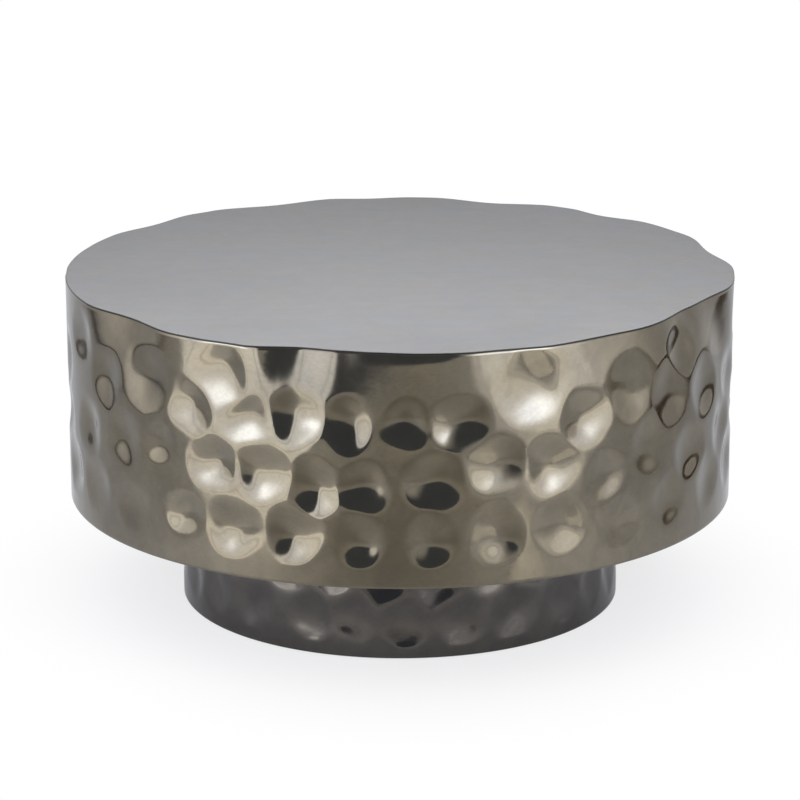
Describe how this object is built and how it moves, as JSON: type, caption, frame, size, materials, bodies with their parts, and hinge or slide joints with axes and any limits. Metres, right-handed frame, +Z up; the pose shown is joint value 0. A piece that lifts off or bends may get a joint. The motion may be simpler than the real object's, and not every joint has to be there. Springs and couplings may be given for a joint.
{
  "type": "coffee table",
  "caption": "Round coffee table with a hammered metal drum body and a flat satin top, standing on a narrower hammered drum base.",
  "frame": {"origin": "on the floor, under the middle of the table", "axes": "+Z up, -Y the front as pictured, +X to the right of someone who looks at the front"},
  "size_m": [0.864, 0.864, 0.434],
  "materials": {
    "top_metal": "satin dark nickel plate with faint clouds and streaks",
    "wall_metal": "hammered sheet with polished dark nickel plate",
    "base_metal": "hammered sheet with polished dark nickel plate",
    "board": "raw fibreboard",
    "frame_paint": "black powder coat",
    "zinc": "zinc plate",
    "nylon": "dark moulded nylon"
  },
  "bodies": {
    "root": {"top_sheet": "top_metal", "top_board": "board", "drum_wall": "wall_metal", "underside_sheet": "frame_paint", "upper_hoop": "frame_paint", "lower_hoop": "frame_paint", "joint_ring": "frame_paint", "base_wall": "base_metal", "base_top_ring": "frame_paint", "base_bottom_ring": "frame_paint", "joining_bolts": "zinc", "joining_washers": "zinc", "joining_nuts": "zinc", "board_screws": "zinc", "glide_screws": "zinc", "glide_nuts": "zinc", "upright_1": "frame_paint", "upright_2": "frame_paint", "upright_3": "frame_paint", "upright_4": "frame_paint", "upright_5": "frame_paint", "upright_6": "frame_paint", "spoke_1": "frame_paint", "spoke_2": "frame_paint", "spoke_3": "frame_paint", "spoke_4": "frame_paint", "spoke_5": "frame_paint", "spoke_6": "frame_paint", "base_upright_1": "frame_paint", "base_upright_2": "frame_paint", "base_upright_3": "frame_paint", "base_upright_4": "frame_paint", "base_upright_5": "frame_paint", "base_upright_6": "frame_paint", "glide_1": "nylon", "glide_2": "nylon", "glide_3": "nylon", "glide_4": "nylon", "glide_5": "nylon", "glide_6": "nylon"}
  },
  "joints": []
}
